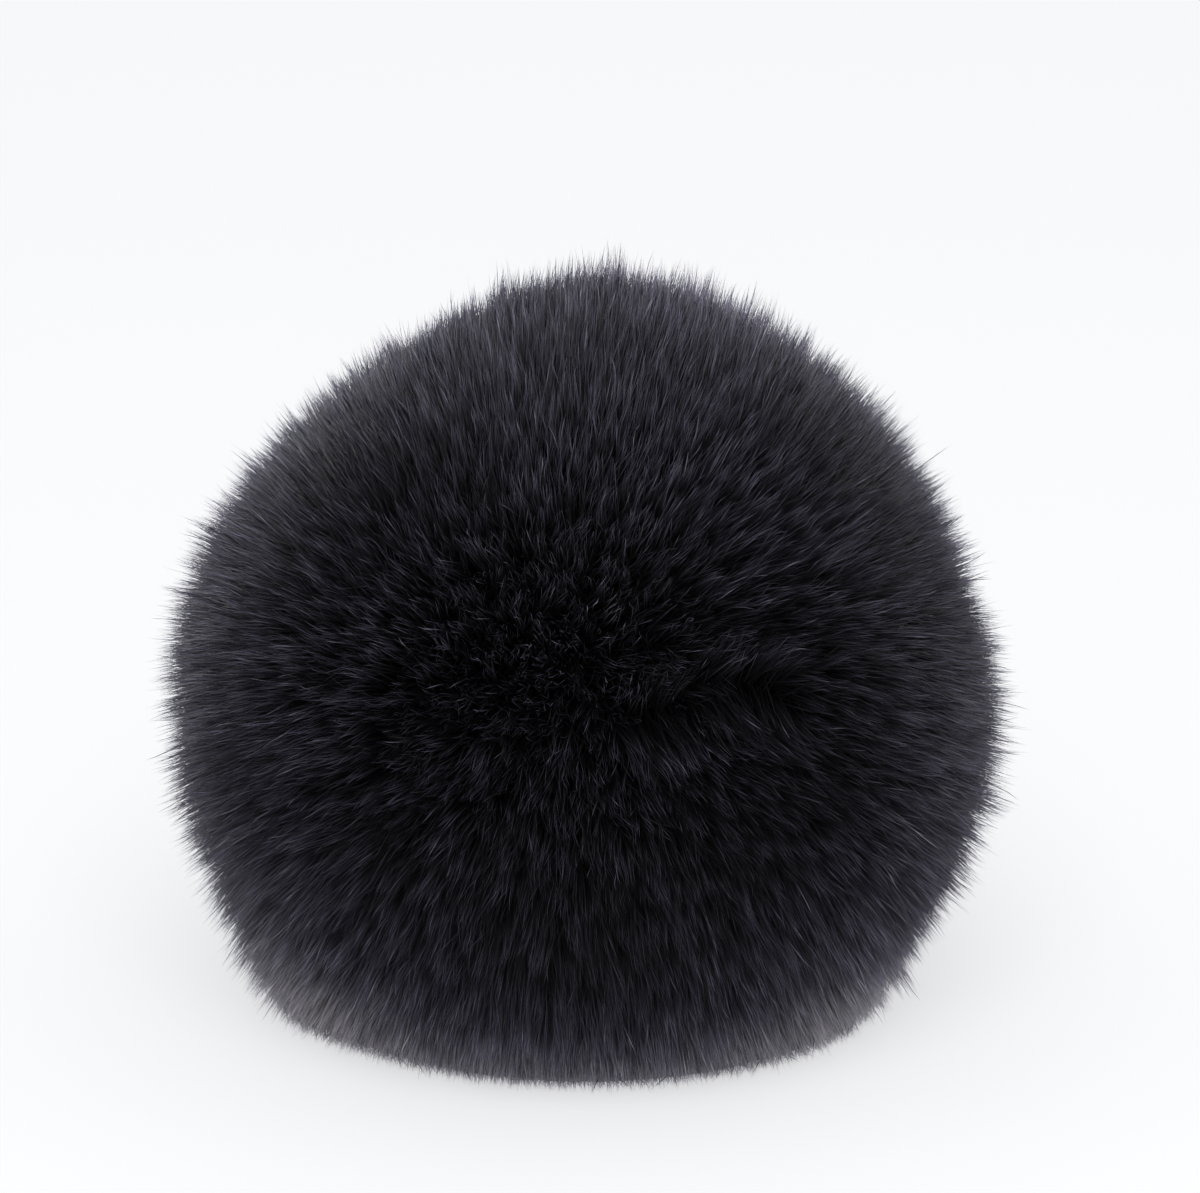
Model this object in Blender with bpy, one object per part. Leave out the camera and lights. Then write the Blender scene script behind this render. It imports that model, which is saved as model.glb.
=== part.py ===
"""A round fur pom pom, 80 mm across its tips, resting where it has slumped level.

A real one is a disc of fur fabric drawn up into a ball with its pile outwards.
Here the ball is one solid: a rounded backing, and 300 three-sided locks of pile
that grow from it and stand apart from each other everywhere but at their roots.
Lengths are metres, +Z is up, and the surface that it rests on is z = 0.
"""

import math
import random
from collections import namedtuple

import bmesh
import bpy
from mathutils import Vector

# The form that the tips of the pile reach: two superellipses, turned about +Z
BALL_RADIUS = 0.040  # half the width across the tips, at the waist
WAIST_HEIGHT = 0.030  # the widest level, above the surface
CROWN_RISE = 0.0415  # from the waist up to the tips on top
BELLY_DROP = 0.040  # from the waist down to where the round form would end
CROWN_ROUNDNESS = 1.70  # exponent above the waist: 2 is an ellipse, less is more peaked
BELLY_ROUNDNESS = 2.10  # exponent below the waist

# The pile
BACKING_SHARE = 0.62  # the backing's size as a share of the tips' form
LOCK_CORNERS = 152  # points spread over the backing; they bound 300 triangles
CORNER_SCATTER = 0.045  # radians that a point may stray from its even place
LENGTH_SCATTER = 0.012  # share by which a lock may be longer or shorter than the form
MOST_LEAN = 0.045  # radians that a lock's tip may lean over
LEVEL_END_WIDTH = 0.48  # width of the level end of a lock that rests on the surface
SCATTER_SEED = 11

# One row for each level of a lock, from its root to its tip.
# along: share of the lock's length. width: share of the triangle that it stands on.
Level = namedtuple("Level", "name along width")
LOCK_LEVELS = (
    Level("neck", 0.10, 0.82),
    Level("belly", 0.46, 0.89),
    Level("shoulder", 0.70, 0.56),
    Level("tip", 1.00, 0.05),
)
ROOT_WIDTH = 0.88  # share of its backing triangle that a lock's root covers

FUR_COLOUR = (0.016, 0.015, 0.019, 1.0)  # charcoal, a little violet
FUR_ROUGHNESS = 0.85

GOLDEN_ANGLE = math.pi * (3.0 - math.sqrt(5.0))
CORE = Vector((0.0, 0.0, WAIST_HEIGHT))  # the point that all the pile points away from
DOWN = Vector((0.0, 0.0, -1.0))


def clear_scene():
    """Removes every object, so that the model stands alone."""
    for thing in list(bpy.data.objects):
        bpy.data.objects.remove(thing, do_unlink=True)


def round_reach(direction):
    """How far the round form lies from the core, along a unit direction.

    The form holds (across / radius)^n + (up / rise)^n = 1, so a ray leaves it at
    ((cos of its slope / radius)^n + (sin of its slope / rise)^n) to the power -1/n.
    """
    across = math.hypot(direction.x, direction.y)
    up = abs(direction.z)
    above = direction.z > 0.0
    rise = CROWN_RISE if above else BELLY_DROP
    power = CROWN_ROUNDNESS if above else BELLY_ROUNDNESS
    return ((across / BALL_RADIUS) ** power + (up / rise) ** power) ** (-1.0 / power)


def surface_reach(direction):
    """How far the surface below lies from the core, or infinity for a ray that misses it."""
    if direction.z >= 0.0:
        return math.inf
    return WAIST_HEIGHT / -direction.z


def backing_point(direction):
    """Where a ray leaves the backing."""
    return CORE + direction * (BACKING_SHARE * round_reach(direction))


def any_direction(chance):
    """A unit vector that points anywhere."""
    return Vector([chance.gauss(0.0, 1.0) for _ in range(3)]).normalized()


def scattered_directions(count, most_stray, chance):
    """Unit directions on a spiral that covers the sphere evenly, each strayed a little."""
    directions = []
    for i in range(count):
        height = 1.0 - 2.0 * (i + 0.5) / count
        across = math.sqrt(1.0 - height * height)
        turn = i * GOLDEN_ANGLE
        even = Vector((across * math.cos(turn), across * math.sin(turn), height))
        stray = any_direction(chance) * chance.uniform(0.0, most_stray)
        directions.append((even + stray).normalized())
    return directions


def backing_triangles(chance):
    """300 triangles that cover a unit sphere, one of them square below its middle."""
    mesh = bmesh.new()
    for direction in scattered_directions(LOCK_CORNERS, CORNER_SCATTER, chance):
        mesh.verts.new(direction)
    bmesh.ops.convex_hull(mesh, input=mesh.verts)
    bmesh.ops.recalc_face_normals(mesh, faces=mesh.faces)
    lowest = min(mesh.faces, key=lambda face: face.calc_center_median().normalized().z)
    turn = lowest.calc_center_median().rotation_difference(DOWN)
    bmesh.ops.rotate(mesh, cent=(0.0, 0.0, 0.0), matrix=turn.to_matrix(), verts=mesh.verts)
    return mesh


def lock_ring(corners, middle, lean, along, width, length_share):
    """The three points of one level of a lock.

    Each point lies on a ray from the core. The ray turns from the lock's middle
    towards the triangle's corner by the width, and leans more the further out it is.
    Its distance runs from the backing to the tips' form, or to the surface below.
    """
    points = []
    for corner in corners:
        ray = (middle + lean * along**2 + (corner - middle) * width).normalized()
        root = BACKING_SHARE * round_reach(ray)
        tip = min(round_reach(ray) * length_share, surface_reach(ray))
        points.append(CORE + ray * (root + (tip - root) * along))
    return points


def grow_lock(mesh, face, corners, chance):
    """Draws one backing triangle out into a lock of pile."""
    middle = sum(corners, Vector()) / len(corners)
    length_share = 1.0 + chance.uniform(-LENGTH_SCATTER, LENGTH_SCATTER)
    lean = any_direction(chance) * chance.uniform(0.0, MOST_LEAN)
    axis = middle.normalized()
    is_level = surface_reach(axis) < round_reach(axis) * length_share
    if is_level:
        lean = Vector()
    centre = face.calc_center_median()
    face = step_out(mesh, face, [centre.lerp(v.co, ROOT_WIDTH) for v in face.verts])
    for level in LOCK_LEVELS:
        width = LEVEL_END_WIDTH if is_level and level.name == "tip" else level.width
        ring = lock_ring(corners, middle, lean, level.along, width, length_share)
        face = step_out(mesh, face, ring)
    for vertex in face.verts:
        vertex.co.z = 0.0 if is_level else max(vertex.co.z, 0.0)


def step_out(mesh, face, ring):
    """Extrudes a face to the points of a ring, and returns the new end face."""
    end = bmesh.ops.extrude_discrete_faces(mesh, faces=[face])["faces"][0]
    for vertex, point in zip(end.verts, ring):
        vertex.co = point
    return end


def fur_material():
    """Soft charcoal pile."""
    material = bpy.data.materials.new("fur")
    material.use_nodes = True
    shader = material.node_tree.nodes["Principled BSDF"]
    shader.inputs["Base Color"].default_value = FUR_COLOUR
    shader.inputs["Roughness"].default_value = FUR_ROUGHNESS
    shader.inputs["Metallic"].default_value = 0.0
    return material


def centre_over_origin(mesh):
    """Slides the ball level, so that its width and depth are centred on the origin."""
    for axis in (0, 1):
        places = [vertex.co[axis] for vertex in mesh.verts]
        middle = (min(places) + max(places)) / 2.0
        for vertex in mesh.verts:
            vertex.co[axis] -= middle


def make_fur_ball():
    """The backing with its 300 locks, as one closed solid."""
    chance = random.Random(SCATTER_SEED)
    mesh = backing_triangles(chance)
    footings = [(face, [v.co.copy() for v in face.verts]) for face in mesh.faces]
    for vertex in mesh.verts:
        vertex.co = backing_point(vertex.co.normalized())
    for face, corners in footings:
        grow_lock(mesh, face, corners, chance)
    centre_over_origin(mesh)
    data = bpy.data.meshes.new("fur_ball")
    mesh.to_mesh(data)
    mesh.free()
    data.materials.append(fur_material())
    ball = bpy.data.objects.new("fur_ball", data)
    bpy.context.scene.collection.objects.link(ball)
    return ball


clear_scene()
make_fur_ball()
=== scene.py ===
# %% [markdown]
# # A fur pom pom, hair by hair
#
# The real thing is a disc of long-pile fur fabric, drawn up with a thread into a ball.
# Its hairs all point away from the middle, and its shape is only where their tips end.
# So this scene is built the same way: a dark, stuffed core, and a coat of real hairs as
# thin closed meshes, worked out with numpy as whole arrays.

# %% Load the frame, and measure the ball that it holds
import math
from collections import namedtuple

import bpy
import numpy as np
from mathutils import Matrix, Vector


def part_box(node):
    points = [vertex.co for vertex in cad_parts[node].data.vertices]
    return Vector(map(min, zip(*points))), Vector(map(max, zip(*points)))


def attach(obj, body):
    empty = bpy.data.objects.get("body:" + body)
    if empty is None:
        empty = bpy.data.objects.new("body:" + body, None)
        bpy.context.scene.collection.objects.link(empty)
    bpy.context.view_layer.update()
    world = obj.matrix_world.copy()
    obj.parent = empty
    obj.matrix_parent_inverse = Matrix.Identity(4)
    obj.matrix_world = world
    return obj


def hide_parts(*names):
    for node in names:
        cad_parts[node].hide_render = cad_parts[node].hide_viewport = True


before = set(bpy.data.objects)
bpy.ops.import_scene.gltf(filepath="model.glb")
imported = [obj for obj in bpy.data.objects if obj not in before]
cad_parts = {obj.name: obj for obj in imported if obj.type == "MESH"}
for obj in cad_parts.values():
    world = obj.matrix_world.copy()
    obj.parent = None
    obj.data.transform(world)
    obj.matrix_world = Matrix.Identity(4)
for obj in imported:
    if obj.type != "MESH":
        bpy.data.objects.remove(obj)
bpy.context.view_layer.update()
low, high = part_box("fur_ball")
BALL_WIDTH = (high.x - low.x + high.y - low.y) / 2
BALL_HEIGHT = high.z
print("the ball is", round(BALL_WIDTH * 1000, 1), "mm wide,", round(BALL_HEIGHT * 1000, 1), "mm high")

# %% [markdown]
# ## The form that the tips reach
#
# The ball has slumped on the table: it is widest below its middle and flat underneath.
# Two superellipses, turned about the upright axis, give that form. A superellipse is an
# ellipse whose power may differ from 2: less makes it more peaked, more makes it boxier.
# A profile drawn by hand and turned would do too, but a formula answers for any ray, and
# everything here is measured along rays from the core, because that is how hair grows.

# %% The form as a function of the ray's direction
BALL_RADIUS = BALL_WIDTH / 2
WAIST_SHARE = 0.417  # of the ball's height
CROWN_SHARE = 0.985  # of the way from the waist up to the top of the solid locks
WAIST_HEIGHT = WAIST_SHARE * BALL_HEIGHT
CROWN_RISE = CROWN_SHARE * (BALL_HEIGHT - WAIST_HEIGHT)
BELLY_DROP = BALL_RADIUS
CROWN_POWER = 1.66
BELLY_POWER = 2.20
CORE = np.array([0.0, 0.0, WAIST_HEIGHT])
LEAST_FALL = 1e-6  # downward part that a ray at or above the level counts as having


def unit(vectors):
    """Each vector divided by its own length."""
    return vectors / np.linalg.norm(vectors, axis=-1, keepdims=True)


def form_reach(rays):
    """Distance from the core to the tips' form: ((across/radius)^n + (up/rise)^n)^(-1/n)."""
    across = np.hypot(rays[..., 0], rays[..., 1])
    up = np.abs(rays[..., 2])
    above = rays[..., 2] > 0
    rise = np.where(above, CROWN_RISE, BELLY_DROP)
    power = np.where(above, CROWN_POWER, BELLY_POWER)
    return ((across / BALL_RADIUS) ** power + (up / rise) ** power) ** (-1 / power)


def table_reach(rays):
    """Distance from the core down to the table: waist height / downward part of the ray."""
    return WAIST_HEIGHT / np.maximum(-rays[..., 2], LEAST_FALL)


print("the crown rises", round(CROWN_RISE * 1000, 1), "mm above the waist")

# %% [markdown]
# ## Even places
#
# Each tuft of hair needs a place on the ball. Random places would clump. A golden-angle
# spiral leaves no bare spots and no rows, and a small stray takes its last regularity
# away. Real pile is pressed together round the edge that meets the table, so the tufts
# crowd there. Hardly anything is seen of the underside, so they are sparser below that.

# %% Rays of the tufts on a spiral
GOLDEN_ANGLE = math.pi * (3 - math.sqrt(5))
TUFTS = 12000
TUFT_STRAY = 0.007  # radians
EDGE_HEIGHT, EDGE_SPAN = -0.67, 0.08  # upward part of a ray where tufts crowd, and how far from it
EDGE_CROWD = 1.2  # how many more there are in the middle of that, for each one elsewhere
UNDERSIDE_HEIGHT, UNDERSIDE_CROWD = -0.82, 0.5  # where the underside starts, and its share of tufts
HEIGHT_STEPS = 2001
SEED = 20
chance = np.random.default_rng(SEED)


def spiral_heights(count):
    """Heights from 1 to -1 that share out the crowd evenly: 1 + edge crowd e^-((height - edge)/span)^2."""
    height = np.linspace(1, -1, HEIGHT_STEPS)
    crowd = 1 + EDGE_CROWD * np.exp(-(((height - EDGE_HEIGHT) / EDGE_SPAN) ** 2))
    crowd *= np.where(height < UNDERSIDE_HEIGHT, UNDERSIDE_CROWD, 1)
    below = np.cumsum(crowd) / crowd.sum()
    return np.interp((np.arange(count) + 0.5) / count, below, height)


def spiral_rays(count):
    """Unit rays: heights fall from 1 to -1, and each turns a golden angle further."""
    height = spiral_heights(count)
    across = np.sqrt(1 - height**2)
    turn = np.arange(count) * GOLDEN_ANGLE
    return np.stack([across * np.cos(turn), across * np.sin(turn), height], axis=-1)


tuft_rays = unit(spiral_rays(TUFTS) + chance.normal(scale=TUFT_STRAY, size=(TUFTS, 3)))
pitch = math.sqrt(4 * math.pi / TUFTS) * BALL_RADIUS
print(TUFTS, "tufts, about", round(pitch * 1000, 1), "mm apart")

# %% [markdown]
# ## Smooth unevenness
#
# Real fur isn't even: neighbours lean the same way and lie the same length. A noise
# texture could give that, but a few cosine waves in random directions, added up, are as
# smooth, and numpy works them out for all the tufts at once.

# %% A smooth random field
WAVES = 14
WAVE_SCATTER = (0.6, 1.4)  # shares between which the waves round the ball vary
FIELD_EVENING = 1.6  # brings most of the sum between -1 and 1


def smooth_field(rays, waves_round, parts=3):
    """Sum of cosines of (ray . wave vector + phase), scaled to about -1 to 1, in several parts."""
    vectors = unit(chance.normal(size=(parts, WAVES, 3))) * waves_round
    vectors *= chance.uniform(*WAVE_SCATTER, size=(parts, WAVES, 1))
    phases = chance.uniform(0, 2 * math.pi, size=(parts, WAVES))
    swing = np.cos(np.einsum("...k,pwk->...pw", rays, vectors) + phases)
    return swing.sum(axis=-1) * math.sqrt(2 / WAVES) / FIELD_EVENING


def along_surface(vectors, rays):
    """The part of each vector that is square to its ray: vector - (vector . ray) ray."""
    return vectors - (vectors * rays).sum(axis=-1, keepdims=True) * rays


print("a field is the sum of", WAVES, "waves")

# %% [markdown]
# ## Places as the photo shows them
#
# The photo looks a little down on the ball. What it shows at one place only, such as a
# parting or a pale patch, is placed by how far right and up of the ball's middle it is
# seen. A ray through that place then carries it to the ball, where it stays put when one
# walks round it.

# %% Directions of the photo, and the ray through a place in it
ELEVATION = math.radians(18)  # of the camera above the table
BACK = np.array([0, -math.cos(ELEVATION), math.sin(ELEVATION)])  # from the ball to the camera
RIGHT = np.array([1.0, 0, 0])
UP = np.cross(BACK, RIGHT)


def facing_ray(across, upward):
    """Across right + upward up + the root of (1 - across^2 - upward^2) back: a ray of length 1."""
    return across * RIGHT + upward * UP + math.sqrt(1 - across**2 - upward**2) * BACK


def fade(rays, middle, width):
    """e^-(angle from the middle / width)^2: 1 in the middle, and hardly anything past two widths."""
    angle = np.arccos(np.clip(rays @ middle, -1, 1))
    return np.exp(-((angle / width) ** 2))


print("the camera looks down by", round(math.degrees(ELEVATION)), "degrees")

# %% [markdown]
# ## Two partings
#
# In two places at the front the pile parts, and one sees into the dark between the
# hairs. Each parting is a short line that the hairs on both sides lean away from, which
# opens the coat without cutting anything out of it.

# %% Lean away from a parting
# start and end: shares of the ball's radius right and up of its middle, as the camera sees it
# width and lean: radians
Parting = namedtuple("Parting", "start end width lean")
PARTINGS = (
    Parting(start=(0.16, -0.07), end=(0.21, -0.06), width=0.065, lean=0.120),
    Parting(start=(0.33, 0.005), end=(0.48, 0.000), width=0.060, lean=0.130),
)
PARTING_TURN = 0.3  # share of the width, over which the lean changes from one side to the other


def parting_lean(rays, parting):
    """Away from its line: lean tanh(off line / turn) e^-((off line/width)^2 + (past its ends/width)^2)."""
    start, end = facing_ray(*parting.start), facing_ray(*parting.end)
    across = unit(np.cross(start, end))
    onward = np.cross(across, start)
    off_line = rays @ across
    along_line = np.arctan2(rays @ onward, rays @ start)
    whole = math.atan2(float(end @ onward), float(end @ start))
    past_end = np.maximum(np.maximum(-along_line, along_line - whole), 0)
    near = np.exp(-((off_line / parting.width) ** 2) - (past_end / parting.width) ** 2)
    push = np.tanh(off_line / (PARTING_TURN * parting.width)) * near * parting.lean
    return along_surface(push[:, None] * across, rays)


print(len(PARTINGS), "partings")

# %% [markdown]
# ## Lobes of the outline
#
# A hand-trimmed ball is never quite round. This one is a little flat at the crown and at
# the right, and fuller low down. Here and there a lock stands out of it, with a gap
# beside it. A noise would make it uneven too, but not where the photo is. So each lobe
# has a place, and makes the hair there longer or shorter by a share of the form's reach.

# %% Gain of length at the lobes
# toward: degrees from the right, turning up, on the outline that the camera sees; width: radians
Lobe = namedtuple("Lobe", "toward gain width")
LOBES = (
    Lobe(toward=104, gain=-0.054, width=0.40),
    Lobe(toward=162, gain=0.017, width=0.30),
    Lobe(toward=225, gain=0.040, width=0.28),
    Lobe(toward=-62, gain=0.020, width=0.30),
    Lobe(toward=-32, gain=-0.036, width=0.20),
    Lobe(toward=-8, gain=0.012, width=0.10),
    Lobe(toward=14, gain=-0.022, width=0.17),
    # Small ones: locks that stand out of the outline, and the gaps between them
    Lobe(toward=-41, gain=0.050, width=0.030),
    Lobe(toward=-44, gain=-0.030, width=0.022),
    Lobe(toward=-48, gain=0.030, width=0.030),
    Lobe(toward=-31, gain=-0.018, width=0.030),
    Lobe(toward=127, gain=-0.014, width=0.030),
    Lobe(toward=152, gain=-0.026, width=0.028),
    Lobe(toward=157, gain=0.018, width=0.035),
    Lobe(toward=166, gain=-0.022, width=0.025),
    Lobe(toward=187, gain=-0.020, width=0.030),
    Lobe(toward=194, gain=0.026, width=0.045),
    Lobe(toward=206, gain=-0.045, width=0.030),
)


def lobe_gain(rays, lobe):
    """The lobe's gain, fading with the angle from its middle on the outline."""
    turn = math.radians(lobe.toward)
    return lobe.gain * fade(rays, math.cos(turn) * RIGHT + math.sin(turn) * UP, lobe.width)


print(len(LOBES), "lobes, from", min(lobe.gain for lobe in LOBES), "to", max(lobe.gain for lobe in LOBES))

# %% [markdown]
# ## Patches of painted light and shade
#
# Where the pile shows the sides of its hairs it looks pale, and where it shows their
# tips it looks dark. Much of that comes from the light and the lean by themselves. Broad
# patches paint in the rest of the light and shade: a paler crown, a darker, shaded belly
# and lower front, darker rims high up, and paler rims low down, where the table lights
# them. They change the tone of whole tufts, and fade out slowly, so that no patch has an
# edge.

# %% Painted light and shade at the patches, as a gain of tone
# across and upward: shares of the ball's radius from its middle, as the camera sees it; width: radians
Patch = namedtuple("Patch", "across upward gain width")
# gain above 0 paints light, and gain below 0 paints shade
LIGHT_AND_SHADE_PATCHES = (
    Patch(across=0.00, upward=0.42, gain=0.07, width=0.30),
    Patch(across=0.00, upward=-0.55, gain=-0.28, width=0.48),
    Patch(across=0.60, upward=0.55, gain=-0.20, width=0.40),
    Patch(across=-0.55, upward=0.50, gain=-0.20, width=0.34),
    Patch(across=-0.60, upward=-0.45, gain=-0.10, width=0.30),
    Patch(across=0.38, upward=-0.33, gain=-0.14, width=0.25),
    Patch(across=-0.08, upward=-0.05, gain=-0.08, width=0.25),
    Patch(across=0.06, upward=0.72, gain=-0.06, width=0.24),
    Patch(across=0.66, upward=0.66, gain=-0.20, width=0.28),
    Patch(across=-0.66, upward=0.66, gain=-0.10, width=0.26),
    Patch(across=-0.70, upward=-0.66, gain=0.30, width=0.24),
    Patch(across=0.57, upward=-0.78, gain=0.30, width=0.24),
)


def painted_light_tone(rays, patch):
    """The patch's gain of tone, painted light where above 0 and painted shade where below, fading with the
    angle from its middle.
    """
    return patch.gain * fade(rays, facing_ray(patch.across, patch.upward), patch.width)


print(len(LIGHT_AND_SHADE_PATCHES), "patches")

# %% [markdown]
# ## How the tufts lie
#
# The pile sways a little this way and that, and each tuft has a flick of its own. The
# belly's hair droops with its weight, and the crown's has been brushed up. Near the
# table the hairs are pressed together and lie more evenly, and their tone is painted
# paler there, for the light of the white table that falls on them. Each cause is a term
# of its own, and they add up, so that any of them can be changed alone.

# %% Lean of each tuft
BROAD_WAVES, BROAD_SHARE = 5, 0.7  # waves round the ball, and their share of the sway
NARROW_WAVES, NARROW_SHARE = 13, 0.5
SWAY = 0.017  # radians, over patches a few tufts wide
FLICK = 0.013  # radians, from one tuft to the next
DROOP = 0.09  # radians, for a ray that points straight down
BRUSH = 0.07  # radians, for a ray that points straight up in the photo
COMB = (0.008, -0.008)  # radians to the right and up in the photo, over the whole ball
TABLE_START = 0.45  # downward part of a ray where the pile starts to be pressed
TABLE_SPAN = 0.28  # how much more of it there is where the pile is pressed fully
TABLE_EVENING = 0.6  # what the scatter loses next to the table
DOWN = np.array([0.0, 0.0, -1.0])


def droop_lean(rays):
    """Down along the surface, by the downward part of the ray."""
    return along_surface(DOWN, rays) * (np.maximum(-rays[:, 2:], 0) * DROOP)


def brush_lean(rays):
    """Up along the surface as the photo shows it, by the upward part of the ray in the photo."""
    return along_surface(UP, rays) * (np.maximum(rays @ UP, 0) * BRUSH)[:, None]


broad_sway = smooth_field(tuft_rays, BROAD_WAVES) * BROAD_SHARE
sway = broad_sway + smooth_field(tuft_rays, NARROW_WAVES) * NARROW_SHARE
near_table = np.clip((-tuft_rays[:, 2] - TABLE_START) / TABLE_SPAN, 0, 1)
evenness = 1 - TABLE_EVENING * near_table
flick = chance.normal(scale=FLICK, size=(TUFTS, 3)) * evenness[:, None]
comb = along_surface(COMB[0] * RIGHT + COMB[1] * UP, tuft_rays)
tuft_lean = along_surface(sway * SWAY + flick, tuft_rays)
tuft_lean += brush_lean(tuft_rays) + droop_lean(tuft_rays) + comb
tuft_lean += sum(parting_lean(tuft_rays, parting) for parting in PARTINGS)
most_lean = np.degrees(np.linalg.norm(tuft_lean, axis=1).max())
print("tufts lean up to", round(float(most_lean), 1), "degrees")

# %% Length and tone of each tuft
LENGTH_WAVES, LENGTH_WAVE = 6, 0.010  # waves round the ball, and share of the form's reach
LENGTH_SCATTER = 0.016  # from one tuft to the next
TONE_WAVES, TONE_WAVE = 7, 0.06  # the tone scale runs from 0, black, to 1, pale
TONE_SCATTER = 0.05
# Tone added next to the table: painted light from the white table
TABLE_PAINTED_LIGHT = 0.50

tuft_length = 1 + smooth_field(tuft_rays, LENGTH_WAVES, parts=1)[:, 0] * LENGTH_WAVE
tuft_length += chance.normal(scale=LENGTH_SCATTER, size=TUFTS) * evenness
# The lobes' gain is kept apart, because it trims the coat without baring its depth
tuft_lobe = sum(lobe_gain(tuft_rays, lobe) for lobe in LOBES)
# Each tuft's own tone varies at random; painted light and shade are added to it below
tuft_tone_and_painted_light = smooth_field(tuft_rays, TONE_WAVES, parts=1)[:, 0] * TONE_WAVE
tuft_tone_and_painted_light += chance.normal(scale=TONE_SCATTER, size=TUFTS)
tuft_tone_and_painted_light += near_table * TABLE_PAINTED_LIGHT
tuft_tone_and_painted_light += sum(painted_light_tone(tuft_rays, patch) for patch in LIGHT_AND_SHADE_PATCHES)
print("tufts differ in length by", round(float(tuft_length.std()) * 100, 1), "% of the form's reach")

# %% [markdown]
# ## Three kinds of strand
#
# Fur has a dense undercoat, which gives it its body, and longer hairs above it. Three
# kinds of strand share the work here. Wisps are small locks of undercoat: thick, dark,
# and short of the form. Fine hairs stand between them and end where the form ends.
# Guard hairs are few, a little longer, and crinkled near the tip, and their paler tone
# paints in the glints of glossy fibres.
#
# Blender's own hair curves would draw finer hairs, but they aren't a mesh that can be
# kept. So a strand is a short list of stations along its length. A station with a width
# is a ring of three points, and one without is a single point: 4 to 12 faces a strand.

# %% Table of the strands
# per_tuft: strands of this kind on each tuft
# stations: rows of share along the strand, and share of its full thickness
# root and tip: shares of the form's reach where the strand starts and ends
# uneven: scatter of the tip's share; shorter: what only the shorter ones lose of it
# radius and crinkle: metres; gather: how far the tips close up; frizz: radians
# tone: middle of this kind's tones; tone_scatter; streaks: width of its strip on the tone chart
Strand = namedtuple(
    "Strand",
    "name per_tuft stations root tip uneven shorter radius gather frizz crinkle "
    "tone tone_scatter streaks",
)
STRANDS = (
    Strand(
        name="wisp", per_tuft=3, stations=((0.0, 0.0), (0.55, 1.0), (1.0, 0.0)),
        root=0.79, tip=0.955, uneven=0.010, shorter=0.018,
        radius=0.00017, gather=0.50, frizz=0.012, crinkle=0.00010,
        tone=0.30, tone_scatter=0.08, streaks=0.030,
    ),
    Strand(
        name="fine hair", per_tuft=12, stations=((0.0, 1.0), (1.0, 0.0)),
        root=0.86, tip=1.004, uneven=0.012, shorter=0.022,
        radius=0.000076, gather=0.60, frizz=0.0085, crinkle=0.0,
        tone=0.435, tone_scatter=0.11, streaks=0.006,
    ),
    Strand(
        name="guard hair", per_tuft=1, stations=((0.0, 0.0), (0.60, 1.0), (0.86, 0.75), (1.0, 0.0)),
        root=0.80, tip=1.010, uneven=0.014, shorter=0.026,
        radius=0.000045, gather=0.55, frizz=0.016, crinkle=0.00006,
        # tone: paler than the fine hairs, as painted glints
        tone=0.50, tone_scatter=0.12, streaks=0.006,
    ),
)
print(TUFTS * sum(strand.per_tuft for strand in STRANDS), "strands in all")

# %% Paths of the strands
TUFT_SPREAD = 0.021  # radians
OUTER_LOSS = 0.010  # what a strand at its tuft's edge loses of its reach
BEND = 1.35  # power of the share along, by which a strand turns from its root's ray to its tip's


def strand_paths(strand, first, last):
    """Station points of one kind of strand on some tufts, and the share of the form that each reaches.

    Roots spread evenly round the tuft's ray, and tips gather towards the tuft's own tip.
    A station at share s of the strand lies on the ray root + (tip - root) s^bend, at the
    distance root + (tip - root) s.
    """
    rays = tuft_rays[first:last, None, :]
    shape = (last - first, strand.per_tuft, 3)
    spread = along_surface(chance.normal(size=shape) * TUFT_SPREAD, rays)
    even = evenness[first:last, None]
    stray = along_surface(chance.normal(scale=strand.frizz, size=shape) * even[..., None], rays)
    root_rays = unit(rays + spread)
    tip_rays = unit(rays + spread * (1 - strand.gather) + tuft_lean[first:last, None, :] + stray)
    outer = np.linalg.norm(spread, axis=-1) / TUFT_SPREAD
    tip_share = strand.tip * tuft_length[first:last, None] - OUTER_LOSS * outer
    tip_share += chance.normal(scale=strand.uneven, size=shape[:2]) * even
    tip_share -= np.abs(chance.normal(scale=strand.shorter, size=shape[:2])) * even
    root_reach = strand.root * np.minimum(form_reach(root_rays), table_reach(root_rays))
    lobed_form = form_reach(tip_rays) * (tip_share + tuft_lobe[first:last, None])
    tip_reach = np.minimum(lobed_form, table_reach(tip_rays))
    points, shares = [], []
    for along, _ in strand.stations:
        station_rays = unit(root_rays + (tip_rays - root_rays) * along**BEND)
        reach = root_reach + (tip_reach - root_reach) * along
        sideways = chance.normal(scale=strand.crinkle, size=shape) if 0 < along < 1 else 0
        points.append(CORE + station_rays * reach[..., None] + sideways)
        shares.append(strand.root + (tip_share - strand.root) * along)
    tone = strand.tone + tuft_tone_and_painted_light[first:last, None]
    tone = tone + chance.normal(scale=strand.tone_scatter, size=shape[:2])
    path = np.stack(points, axis=-2).reshape(-1, len(points), 3)
    return path, np.stack(shares, axis=-1).reshape(-1, len(shares)), tone.reshape(-1)


print("the roots of a tuft spread", round(2 * TUFT_SPREAD * BALL_RADIUS * 1000, 1), "mm wide")

# %% [markdown]
# ## Where the pile meets the table
#
# Under the ball the hairs can't reach their full length. They bend over on the table and
# lie outwards. A simulation could bend them, but hardly any of it shows. So each point
# that would go through the table is lifted, and slides outwards.

# %% Lay the lowest hairs on the table
OUTWARD_SLIDE = 0.20  # metres for each metre of lift
NUDGE = 1e-9  # metres, so that a point right under the core has a way out too


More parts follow.
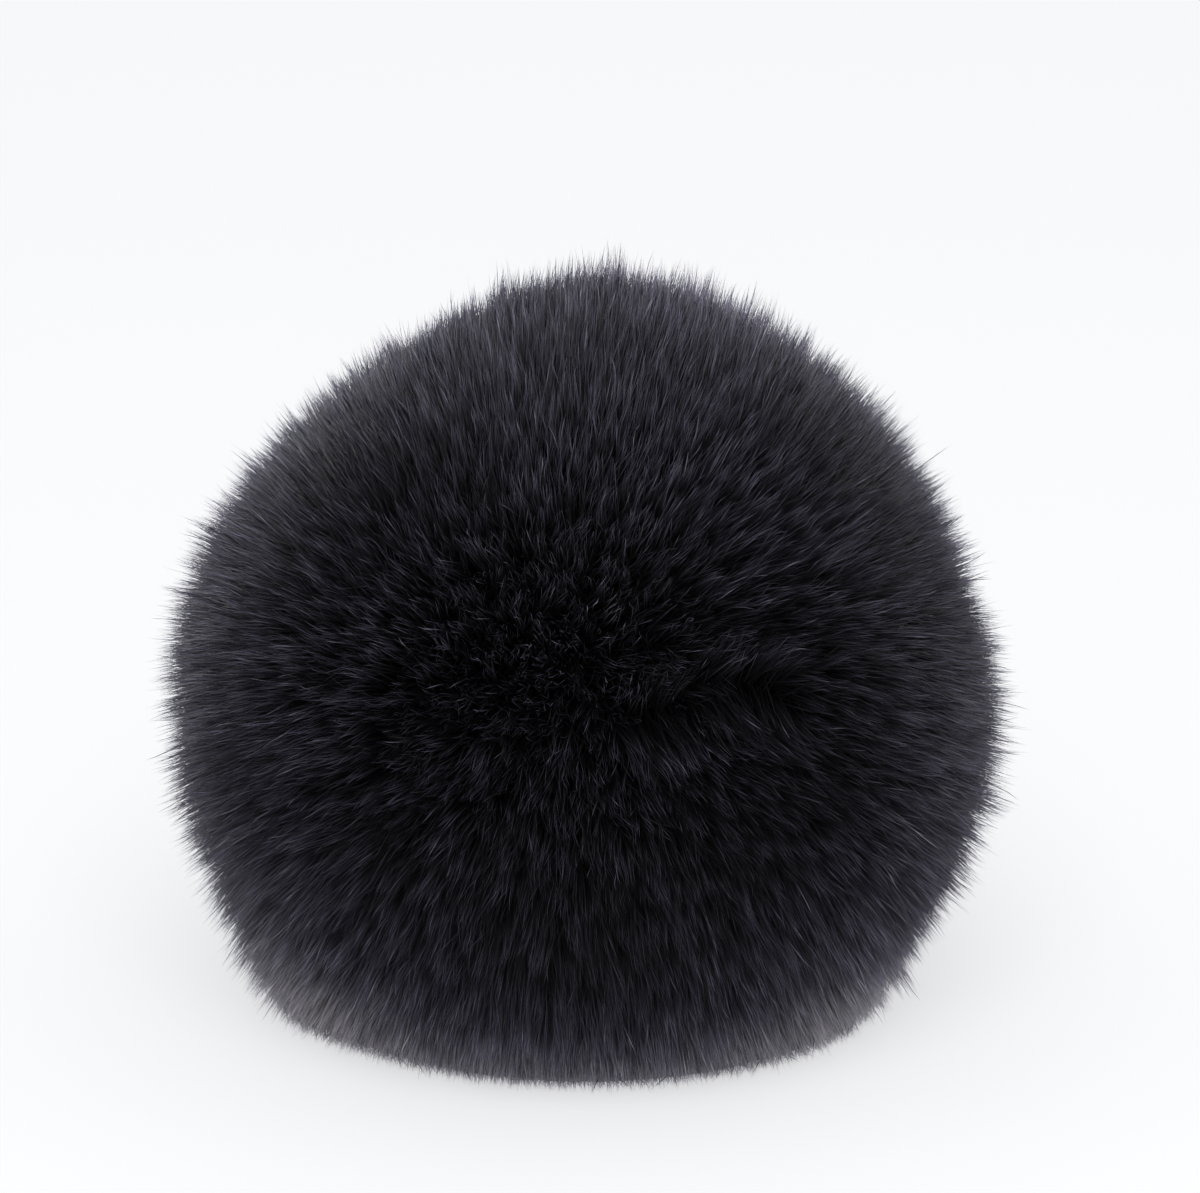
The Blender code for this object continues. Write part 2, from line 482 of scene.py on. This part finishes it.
def lay_on_table(points, least):
    """Lifts what is under its least height by the lack, and slides it outwards by a share of that."""
    lift = np.maximum(least - points[..., 2], 0)
    outwards = unit(points[..., :2] + NUDGE)
    laid = points.copy()
    laid[..., 2] += lift
    laid[..., :2] += outwards * (lift * OUTWARD_SLIDE)[..., None]
    return laid


print("a hair that is lifted 1 mm slides out by", OUTWARD_SLIDE, "mm")

# %% [markdown]
# ## From arrays to a mesh
#
# The faces of one strand are a small table of point numbers. The faces of a whole band
# are that table repeated, shifted each time by the number of points in a strand.
#
# A hair of three sides would shade as a blade, and a coat of them as a heap of straw. So
# each point is given a normal of its own, which leans mostly away from the core. The
# coat then takes the light as one soft, round body.

# %% Faces of a strand
RING = 3  # points round a station


def strand_faces(stations):
    """Fans from the end points, two triangles a side from ring to ring, and a lid on a ring at the root."""
    first_points, faces, count = [], [], 0
    for _, width in stations:
        first_points.append((count, width > 0))
        count += RING if width > 0 else 1
    if first_points[0][1]:
        faces.append([0, 2, 1])
    for (a, a_is_ring), (b, b_is_ring) in zip(first_points, first_points[1:]):
        for k in range(RING):
            n = (k + 1) % RING
            if a_is_ring and b_is_ring:
                faces += [[a + k, a + n, b + n], [a + k, b + n, b + k]]
            elif b_is_ring:
                faces.append([a, b + n, b + k])
            else:
                faces.append([b, a + k, a + n])
    return np.array(faces), count


for strand in STRANDS:
    print("a", strand.name, "has", len(strand_faces(strand.stations)[0]), "faces")

# %% Points and normals of a strand
ROUNDNESS = 0.5  # how far a point's normal leans from the core's ray to its own side


def strand_points(path, stations, radius):
    """Each station's point, or a ring round it square to the strand: first side cos + second side sin."""
    axis = unit(path[:, -1] - path[:, 0])
    first_side = unit(np.cross(axis, unit(chance.normal(size=axis.shape))))
    second_side = np.cross(axis, first_side)
    turns = (np.arange(RING) * 2 * math.pi / RING)[:, None]
    around = first_side[:, None] * np.cos(turns) + second_side[:, None] * np.sin(turns)
    points, normals = [], []
    for i, (_, width) in enumerate(stations):
        outward = unit(path[:, i : i + 1] - CORE)
        if width > 0:
            points.append(path[:, i : i + 1] + around * (radius * width)[:, None, None])
            normals.append(unit(outward + around * ROUNDNESS))
        else:
            points.append(path[:, i : i + 1])
            normals.append(outward)
    return np.concatenate(points, axis=1), np.concatenate(normals, axis=1)


print("a normal leans up to", round(math.degrees(math.atan(ROUNDNESS))), "degrees from the core's ray")

# %% [markdown]
# ## A chart for the colour
#
# The UV map is a chart. Across it runs the tone, from black to pale, and up it the depth
# in the pile, from the backing to the tips. A strand lies on it as a narrow strip, and
# thousands of strands share the same chart. Colours stored on the points would do as
# well, but they can't hold fine streaks between one point and the next.

# %% Strip of a strand on the chart, and its mesh
DEEPEST, HIGHEST = 0.78, 1.03  # shares of the form's reach at the foot and the top of the chart
CHART_MARGIN = 0.02
RING_SIDE = np.array([0.0, 1.0, -1.0])  # where a ring's points lie across the strip
RING_RISE = np.array([0.006, -0.003, -0.003])  # and how they stand off its level


def strand_chart(shares, tone, stations, streaks):
    """Each point's place on the chart: tone across, and (share - deepest)/(highest - deepest) up."""
    depth = np.clip((shares - DEEPEST) / (HIGHEST - DEEPEST), CHART_MARGIN, 1 - CHART_MARGIN)
    tone = np.clip(tone, CHART_MARGIN + streaks, 1 - CHART_MARGIN - streaks)[:, None]
    u, v = [], []
    for i, (_, width) in enumerate(stations):
        level = depth[:, i : i + 1]
        u.append(tone + RING_SIDE * streaks if width > 0 else tone)
        v.append(level + RING_RISE if width > 0 else level)
    return np.stack([np.concatenate(u, axis=1), np.concatenate(v, axis=1)], axis=-1)


def mesh_from_arrays(name, points, normals, faces, uv):
    """One smooth triangle mesh with its UV map and its own normals."""
    mesh = bpy.data.meshes.new(name)
    mesh.vertices.add(len(points))
    mesh.vertices.foreach_set("co", points.astype(np.float32).ravel())
    mesh.loops.add(faces.size)
    mesh.loops.foreach_set("vertex_index", faces.astype(np.int32).ravel())
    mesh.polygons.add(len(faces))
    mesh.polygons.foreach_set("loop_start", np.arange(0, faces.size, 3, dtype=np.int32))
    mesh.uv_layers.new(name="OFBake")
    mesh.uv_layers["OFBake"].data.foreach_set("uv", uv[faces].astype(np.float32).ravel())
    mesh.update(calc_edges=True)
    mesh.validate()
    mesh.shade_smooth()
    mesh.normals_split_custom_set_from_vertices(normals)
    return mesh


print("the chart covers", round((HIGHEST - DEEPEST) * BALL_RADIUS * 1000, 1), "mm of the pile's depth")

# %% [markdown]
# ## Fur material
#
# The hairs are charcoal with a breath of violet. A hair shader needs hair curves, so the
# plain shader does its work on these meshes. Deep in the pile the hairs lie in the shade
# of their neighbours, and light that gets there is soaked up on the way, so the colour
# fades with the depth as a power of the height on the chart. Fine streaks across the
# chart make one thick wisp look like several hairs side by side. A weak sheen stands for
# the light that the finest hairs catch at the edge of the ball.

# %% Helpers for nodes


def ramp(nodes, stops):
    """A colour ramp with stops of place, then colour."""
    node = nodes.new("ShaderNodeValToRGB")
    elements = node.color_ramp.elements
    elements[0].position, elements[0].color = stops[0][0], (*stops[0][1], 1)
    elements[1].position, elements[1].color = stops[-1][0], (*stops[-1][1], 1)
    for place, colour in stops[1:-1]:
        elements.new(place).color = (*colour, 1)
    return node


def math_node(nodes, operation, *values):
    """A Math node with some of its inputs set."""
    node = nodes.new("ShaderNodeMath")
    node.operation = operation
    for socket, value in zip(node.inputs, values):
        if value is not None:
            socket.default_value = value
    return node


def shaded_material(name, settings):
    """A new material, and its shader with these sockets set."""
    material = bpy.data.materials.new(name)
    material.use_nodes = True
    shader = material.node_tree.nodes["Principled BSDF"]
    for socket, value in settings.items():
        shader.inputs[socket].default_value = value
    return material, shader


print("helpers for a colour ramp, a Math node and a material")

# %% Material of the hairs
STREAKS_ACROSS = 110
STREAKS_ALONG = 9.0
STREAK_DETAIL = 1.0
STREAK_STRENGTH = 0.45
DEPTH_POWER = 6.3
PALE_LEVEL = 0.80  # the height on the chart above which the hair has its full colour
HAIR_TONES = (  # place on the tone scale, then colour
    (0.00, (0.030, 0.0285, 0.0375)),
    (0.30, (0.083, 0.0785, 0.1120)),
    (0.60, (0.186, 0.1760, 0.2430)),
    (1.00, (0.480, 0.4660, 0.4900)),
)
HAIR_SHADER = {
    "Roughness": 0.5,
    "Specular IOR Level": 0.08,
    "Sheen Weight": 0.11,
    "Sheen Roughness": 0.4,
    "Sheen Tint": (0.88, 0.88, 1.0, 1),
}


def hair_material():
    """Colour of (tone + streak) times (height on the chart / pale level) to a power, at most 1."""
    material, shader = shaded_material("charcoal hair", HAIR_SHADER)
    nodes, links = material.node_tree.nodes, material.node_tree.links
    chart = nodes.new("ShaderNodeUVMap")
    chart.uv_map = "OFBake"
    stretch = nodes.new("ShaderNodeMapping")
    stretch.inputs["Scale"].default_value = (STREAKS_ACROSS, STREAKS_ALONG, 1)
    streak = nodes.new("ShaderNodeTexNoise")
    streak.noise_dimensions = "2D"
    streak.inputs["Scale"].default_value = 1.0
    streak.inputs["Detail"].default_value = STREAK_DETAIL
    split = nodes.new("ShaderNodeSeparateXYZ")
    swing = math_node(nodes, "MULTIPLY_ADD", None, STREAK_STRENGTH, -0.5 * STREAK_STRENGTH)
    streaked = math_node(nodes, "ADD")
    tone = ramp(nodes, HAIR_TONES)
    level = math_node(nodes, "DIVIDE", None, PALE_LEVEL)
    depth = math_node(nodes, "POWER", None, DEPTH_POWER)
    depth.use_clamp = True
    shaded = nodes.new("ShaderNodeVectorMath")
    shaded.operation = "SCALE"
    links.new(chart.outputs["UV"], stretch.inputs["Vector"])
    links.new(stretch.outputs["Vector"], streak.inputs["Vector"])
    links.new(chart.outputs["UV"], split.inputs[0])
    links.new(streak.outputs["Fac"], swing.inputs[0])
    links.new(split.outputs["X"], streaked.inputs[0])
    links.new(swing.outputs[0], streaked.inputs[1])
    links.new(streaked.outputs[0], tone.inputs["Fac"])
    links.new(split.outputs["Y"], level.inputs[0])
    links.new(level.outputs[0], depth.inputs[0])
    links.new(tone.outputs["Color"], shaded.inputs[0])
    links.new(depth.outputs[0], shaded.inputs["Scale"])
    links.new(shaded.outputs["Vector"], shader.inputs["Base Color"])
    return material


HAIR = hair_material()
print("the hair's colour has", len(HAIR_TONES), "stops")

# %% [markdown]
# ## The coat
#
# A million triangles in one mesh would be slow to handle, so the coat is five meshes,
# bands from the crown to the base. The spiral already sorts the tufts by height.

# %% Put a piece in the scene


def dress(name, mesh, material):
    """A piece that rides on the ball's body and stands for its fur solid."""
    piece = bpy.data.objects.new(name, mesh)
    piece.data.materials.append(material)
    bpy.context.scene.collection.objects.link(piece)
    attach(piece, "root")
    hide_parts("fur_ball")
    return piece


print("each piece rides on the body root")

# %% Grow the five bands
BANDS = ("crown", "shoulder", "waist", "belly", "base")
TABLE_GAP = 0.0002  # metres
LAYER = 0.0004  # depth of the hairs that lie on each other on the table
THINNEST, THICKEST = 0.75, 1.25  # shares of a strand's radius


def grow_band(name, first, last):
    """The strands of one band of tufts, all three kinds, as one object."""
    points, normals, faces, charts, start = [], [], [], [], 0
    for strand in STRANDS:
        path, shares, tone = strand_paths(strand, first, last)
        count = len(path)
        radius = strand.radius * chance.uniform(THINNEST, THICKEST, size=count)
        least = TABLE_GAP + strand.radius * THICKEST + chance.uniform(0, LAYER, size=count)
        path = lay_on_table(path, least[:, None])
        table, per_strand = strand_faces(strand.stations)
        shift = start + np.arange(count)[:, None, None] * per_strand
        faces.append((table + shift).reshape(-1, 3))
        places, directions = strand_points(path, strand.stations, radius)
        points.append(places.reshape(-1, 3))
        normals.append(directions.reshape(-1, 3))
        charts.append(strand_chart(shares, tone, strand.stations, strand.streaks).reshape(-1, 2))
        start += count * per_strand
    arrays = [np.concatenate(parts) for parts in (points, normals, faces, charts)]
    piece = dress("fur_" + name, mesh_from_arrays("fur_" + name, *arrays), HAIR)
    lowest = round(arrays[0][:, 2].min() * 1000, 2)
    print(piece.name, len(piece.data.polygons), "faces, lowest at", lowest, "mm")
    return piece


edges = np.linspace(0, TUFTS, len(BANDS) + 1).astype(int)
bands = [grow_band(name, edges[i], edges[i + 1]) for i, name in enumerate(BANDS)]
print("the coat has", sum(len(band.data.polygons) for band in bands), "faces")

# %% [markdown]
# ## The mat under the edge
#
# Where the ball meets the table, its lowest hairs are pressed together into a mat. Its
# edge is a soft line, not a fringe. The mat is a ring with a low wedge for its section,
# and every column of it has a tone of its own, so that it reads as hairs side by side.
# It ends where the form meets the table, so it follows the lobes as the coat does.

# %% Line where the form meets the table
EDGE_SHARE = 0.68  # about where that line lies, as a share of the ball's radius


def contact_edge(turn, share):
    """Radius at which the form, at a share of its size and with its lobes, meets the table.

    There (radius / (ball radius s))^n + (waist height / (belly drop s))^n = 1.
    """
    edge = [EDGE_SHARE * BALL_RADIUS * np.cos(turn), EDGE_SHARE * BALL_RADIUS * np.sin(turn)]
    rays = unit(np.stack([*edge, np.full(turn.shape, -WAIST_HEIGHT)], axis=-1))
    size = share + sum(lobe_gain(rays, lobe) for lobe in LOBES)
    down = (WAIST_HEIGHT / (BELLY_DROP * size)) ** BELLY_POWER
    return BALL_RADIUS * size * (1 - down) ** (1 / BELLY_POWER)


right_edge = float(contact_edge(np.zeros(1), 1.0)[0])
print("at the right, the form meets the table", round(right_edge * 1000, 1), "mm from the middle")

# %% Ring of pressed pile
# Rows of its section: share of the radius of the line on the table, and height in metres
MAT_SECTION = (
    (0.80, 0.00025),
    (0.992, 0.00025),
    (1.0, 0.0004),
    (0.994, 0.0007),
    (0.970, 0.0012),
    (0.80, 0.0020),
)
MAT_COLUMNS = 720
MAT_SHARE = 0.953  # of the form's size, where the mat ends
MAT_JITTER = 0.004
# The mat's pale tone is painted light from the white table; its scatter is the hairs' own
MAT_TABLE_LIT_TONE, MAT_TONE_SCATTER = 0.85, 0.08
MAT_LEVEL = 0.68  # height on the chart


def mat_mesh():
    """The section turned about +Z: (radius cos turn, radius sin turn, height), as a closed ring."""
    turn = np.arange(MAT_COLUMNS) * 2 * math.pi / MAT_COLUMNS
    section = np.array(MAT_SECTION)
    edge = contact_edge(turn, MAT_SHARE) * (1 + chance.normal(scale=MAT_JITTER, size=MAT_COLUMNS))
    radius = section[:, 0] * edge[:, None]
    height = np.broadcast_to(section[:, 1], radius.shape)
    points = np.stack([radius * np.cos(turn)[:, None], radius * np.sin(turn)[:, None], height], axis=-1)
    points = points.reshape(-1, 3)
    here = np.arange(radius.size).reshape(radius.shape)
    ahead = np.roll(here, -1, axis=0)
    here_up, ahead_up = np.roll(here, -1, axis=1), np.roll(ahead, -1, axis=1)
    faces = np.concatenate([
        np.stack([here, ahead, ahead_up], axis=-1).reshape(-1, 3),
        np.stack([here, ahead_up, here_up], axis=-1).reshape(-1, 3),
    ])
    tone = chance.normal(MAT_TABLE_LIT_TONE, MAT_TONE_SCATTER, size=(MAT_COLUMNS, 1))
    tone = np.broadcast_to(tone.clip(CHART_MARGIN, 1 - CHART_MARGIN), radius.shape)
    chart = np.stack([tone, np.full(radius.shape, MAT_LEVEL)], axis=-1).reshape(-1, 2)
    return mesh_from_arrays("fur_mat", points, unit(points - CORE), faces, chart)


mat = dress("fur_mat", mat_mesh(), HAIR)
print(mat.name, len(mat.data.polygons), "faces")

# %% [markdown]
# ## The hem
#
# Left bare, the mat's edge would show as a cut line. On the real ball, the last hairs
# bend over it and end just short of the table. So fine, short, straight hairs start on
# the mat, and drape over its edge down to the table.

# %% Hem of fine hairs over the mat's edge
HEM_HAIRS = 9000
HEM_STATIONS = ((0.0, 1.0), (1.0, 0.0))
HEM_SHARE, HEM_UNEVEN = 0.980, 0.008  # of the form's size, where the hem's tips end
HEM_INWARD = (-0.01, 0.10)  # shares of the radius, by which its roots lie further in
HEM_ROOTS, HEM_TIPS = (0.0014, 0.0036), (0.0003, 0.0006)  # heights above the table
HEM_LEAN = 0.035  # radians round the ball
HEM_RADIUS = 0.000062  # metres
# The hem's pale tone is painted light from the white table; its scatter is the hairs' own
HEM_TABLE_LIT_TONE, HEM_TONE_SCATTER = 0.80, 0.12
HEM_STREAKS = 0.006  # width of a hair's strip on the chart
HEM_DEPTHS = (0.93, 1.0)  # shares of the form's reach that its roots and tips count as


def hem_mesh():
    """Straight hairs from inside the edge down to it: (radius cos turn, radius sin turn, height)."""
    turn = (np.arange(HEM_HAIRS) + chance.uniform(size=HEM_HAIRS)) * 2 * math.pi / HEM_HAIRS
    edge = contact_edge(turn, HEM_SHARE + chance.normal(scale=HEM_UNEVEN, size=HEM_HAIRS))
    ends = []
    for inward, heights in ((chance.uniform(*HEM_INWARD, size=HEM_HAIRS), HEM_ROOTS), (0, HEM_TIPS)):
        radius = edge * (1 - inward)
        height = chance.uniform(*heights, size=HEM_HAIRS)
        ends.append(np.stack([radius * np.cos(turn), radius * np.sin(turn), height], axis=-1))
        turn = turn + chance.normal(scale=HEM_LEAN, size=HEM_HAIRS)
    thickness = HEM_RADIUS * chance.uniform(THINNEST, THICKEST, size=HEM_HAIRS)
    points, normals = strand_points(np.stack(ends, axis=1), HEM_STATIONS, thickness)
    table, per_hair = strand_faces(HEM_STATIONS)
    faces = (table + np.arange(HEM_HAIRS)[:, None, None] * per_hair).reshape(-1, 3)
    tone = chance.normal(HEM_TABLE_LIT_TONE, HEM_TONE_SCATTER, size=HEM_HAIRS)
    shares = np.broadcast_to(HEM_DEPTHS, (HEM_HAIRS, 2))
    chart = strand_chart(shares, tone, HEM_STATIONS, HEM_STREAKS).reshape(-1, 2)
    return mesh_from_arrays("fur_hem", points.reshape(-1, 3), normals.reshape(-1, 3), faces, chart)


hem = dress("fur_hem", hem_mesh(), HAIR)
print(hem.name, len(hem.data.polygons), "faces")

# %% [markdown]
# ## The stuffed core
#
# Under the hairs lies the gathered fabric over its filling. Only darkness shows of it
# between the hairs, but it has to be there, or light would leak through the ball. Its
# gathers don't show, so one smooth closed surface of two angles is enough.

# %% Core as a grid of two angles
CORE_SHARE = 0.81  # of the form's reach
CORE_ROWS, CORE_COLUMNS = 64, 96


def core_mesh():
    """Each ray by its slope and turn, out to a share of the form or of the way to the table; closed."""
    slope = np.linspace(0, math.pi, CORE_ROWS + 1)[1:-1]
    turn = np.arange(CORE_COLUMNS) * 2 * math.pi / CORE_COLUMNS
    slope, turn = np.meshgrid(slope, turn, indexing="ij")
    rays = np.stack([np.sin(slope) * np.cos(turn), np.sin(slope) * np.sin(turn), np.cos(slope)], axis=-1)
    rays = np.concatenate([[[0, 0, 1.0]], rays.reshape(-1, 3), [[0, 0, -1.0]]])
    reach = CORE_SHARE * np.minimum(form_reach(rays), table_reach(rays))
    points = CORE + rays * reach[:, None]
    row = np.arange(CORE_COLUMNS)
    ahead = (row + 1) % CORE_COLUMNS
    cap_top = np.stack([np.zeros_like(row), 1 + row, 1 + ahead], axis=-1)
    start = 1 + (CORE_ROWS - 2) * CORE_COLUMNS
    cap_bottom = np.stack([np.full_like(row, len(points) - 1), start + ahead, start + row], axis=-1)
    upper = 1 + np.arange(CORE_ROWS - 2)[:, None] * CORE_COLUMNS
    lower = upper + CORE_COLUMNS
    sides = np.stack([upper + row, lower + row, lower + ahead, upper + ahead], axis=-1).reshape(-1, 4)
    mesh = bpy.data.meshes.new("stuffed_core")
    mesh.from_pydata(points.tolist(), [], cap_top.tolist() + sides.tolist() + cap_bottom.tolist())
    mesh.shade_smooth()
    return mesh


print("the core reaches", round(CORE_SHARE * BALL_RADIUS * 1000, 1), "mm out at the waist")

# %% Backing cloth, and the core
NAP_SCALE = 900  # swings of the nap for each metre
# Near black: the cloth's own dark colour, painted darker for the deep shade between the hairs
NAP_TONES_AND_DEEP_SHADE = ((0.3, (0.0008, 0.0008, 0.0010)), (0.7, (0.003, 0.0029, 0.0036)))
BACKING_SHADER = {"Roughness": 0.9, "Specular IOR Level": 0.05}


def core_material():
    """Dark backing cloth with a fine uneven nap, painted darker still, nearly black, for the deep shade
    between the hairs.
    """
    material, shader = shaded_material("backing cloth and painted deep shade", BACKING_SHADER)
    nodes, links = material.node_tree.nodes, material.node_tree.links
    place = nodes.new("ShaderNodeTexCoord")
    nap = nodes.new("ShaderNodeTexNoise")
    nap.inputs["Scale"].default_value = NAP_SCALE
    colour = ramp(nodes, NAP_TONES_AND_DEEP_SHADE)
    links.new(place.outputs["Object"], nap.inputs["Vector"])
    links.new(nap.outputs["Fac"], colour.inputs["Fac"])
    links.new(colour.outputs["Color"], shader.inputs["Base Color"])
    return material


core = dress("stuffed_core", core_mesh(), core_material())
print(core.name, len(core.data.polygons), "faces")

# %% [markdown]
# ## The table
#
# The photo was taken on a white table in plenty of light. Here the table glows faintly
# instead. That keeps the ball's shadow faint and its lowest hairs pale, as in the photo.

# %% Floor
FLOOR_HALF = 4.0  # metres
FLOOR_SHADER = {
    "Base Color": (0.58, 0.58, 0.581, 1),
    "Roughness": 0.8,
    "Specular IOR Level": 0.1,
    "Emission Color": (0.975, 0.98, 1.0, 1),
    "Emission Strength": 0.62,
}

corners = [(-1, -1), (1, -1), (1, 1), (-1, 1)]
floor_mesh = bpy.data.meshes.new("pale_floor")
floor_mesh.from_pydata([(x * FLOOR_HALF, y * FLOOR_HALF, 0) for x, y in corners], [], [(0, 1, 2, 3)])
floor_mesh.materials.append(shaded_material("pale floor", FLOOR_SHADER)[0])
floor = bpy.data.objects.new("pale_floor", floor_mesh)
bpy.context.scene.collection.objects.link(floor)
print("the floor is", 2 * FLOOR_HALF, "m wide")

# %% [markdown]
# ## Soft light
#
# Soft light comes from all sides, a little more from above and behind, where it edges
# the ball with paler hair. On the white table, those lights would drown the shadow. They
# are linked to the fur alone, and one weak soft box lights the table in front.

# %% Lights
WORLD_COLOUR = (0.97, 0.975, 1.0, 1)
WORLD_STRENGTH = 0.52

scene = bpy.context.scene
world = bpy.data.worlds.new("studio")
scene.world = world
world.use_nodes = True
world.node_tree.nodes["Background"].inputs["Color"].default_value = WORLD_COLOUR
world.node_tree.nodes["Background"].inputs["Strength"].default_value = WORLD_STRENGTH


def hang(name, data, place, turn):
    """A lamp in the scene, at a place and turned."""
    lamp = bpy.data.objects.new(name, data)
    lamp.location = place
    lamp.rotation_euler = turn.to_euler()
    scene.collection.objects.link(lamp)
    return lamp


def far_light(name, place, spread, strength):
    """A distant wide light that shines from that side, and as strongly everywhere."""
    data = bpy.data.lights.new(name, "SUN")
    data.angle = math.radians(spread)
    data.energy = strength
    return hang(name, data, place, Vector(place).to_track_quat("Z", "Y"))


def soft_box(name, place, aim, size, power):
    """A square area light that faces a point."""
    data = bpy.data.lights.new(name, "AREA")
    data.size = size
    data.energy = power
    return hang(name, data, place, (Vector(aim) - Vector(place)).to_track_quat("-Z", "Y"))


def shines_on(lamps, pieces):
    """Flags the lamps off everything but these pieces."""
    lit = bpy.data.collections.new("lit by " + lamps[0].name)
    for piece in pieces:
        lit.objects.link(piece)
    for lamp in lamps:
        lamp.light_linking.receiver_collection = lit


BALL_MIDDLE = (0, 0, 0.03)
fur_lamps = [
    far_light("above", place=(-0.14, 0.44, 0.95), spread=40, strength=2.4),
    far_light("behind", place=(-0.10, 0.90, 0.50), spread=30, strength=1.7),
    soft_box("back left", place=(-0.52, 0.62, 0.12), aim=BALL_MIDDLE, size=0.3, power=5.5),
    soft_box("back right", place=(0.64, 0.46, 0.06), aim=BALL_MIDDLE, size=0.3, power=4.4),
]
table_lamp = soft_box("table front", place=(0.0, -0.45, 0.50), aim=(0, -0.15, 0), size=0.4, power=1.2)
shines_on(fur_lamps, [*bands, mat, hem, core])
shines_on([table_lamp], [floor])
scene.view_settings.view_transform = "Standard"
scene.view_settings.look = "None"
print(len(fur_lamps), "lamps shine on the fur, and one on the table")

# %% [markdown]
# ## The camera
#
# It looks at the ball as the photo does. The ball's width in the photo, in pixels, gives
# the size of one pixel at the ball, and that gives the lens for the camera's distance.

# %% Camera
PHOTO_WIDTH = 1200  # pixels
BALL_PIXELS = 862  # the ball's width in the photo
AIM_PIXELS = (15, 25)  # right and up of the ball's middle, where the photo has its own middle
DISTANCE = 0.60  # metres
SENSOR = 36.0  # millimetres
NEAREST = 0.01  # metres from the camera, where the picture starts
PIXEL = BALL_WIDTH / BALL_PIXELS

back = Vector(BACK)
aim_right = Vector(RIGHT) * (AIM_PIXELS[0] * PIXEL)
aim_up = Vector(UP) * (AIM_PIXELS[1] * PIXEL)
target = Vector((0, 0, BALL_HEIGHT / 2)) + aim_right + aim_up
camera_data = bpy.data.cameras.new("camera")
camera_data.sensor_fit = "HORIZONTAL"
camera_data.sensor_width = SENSOR
camera_data.lens = SENSOR * DISTANCE / (PIXEL * PHOTO_WIDTH)
camera_data.clip_start = NEAREST
camera = bpy.data.objects.new("camera", camera_data)
camera.location = target + back * DISTANCE
camera.rotation_euler = back.to_track_quat("Z", "Y").to_euler()
scene.collection.objects.link(camera)
scene.camera = camera
print("the lens is", round(camera_data.lens, 1), "mm")
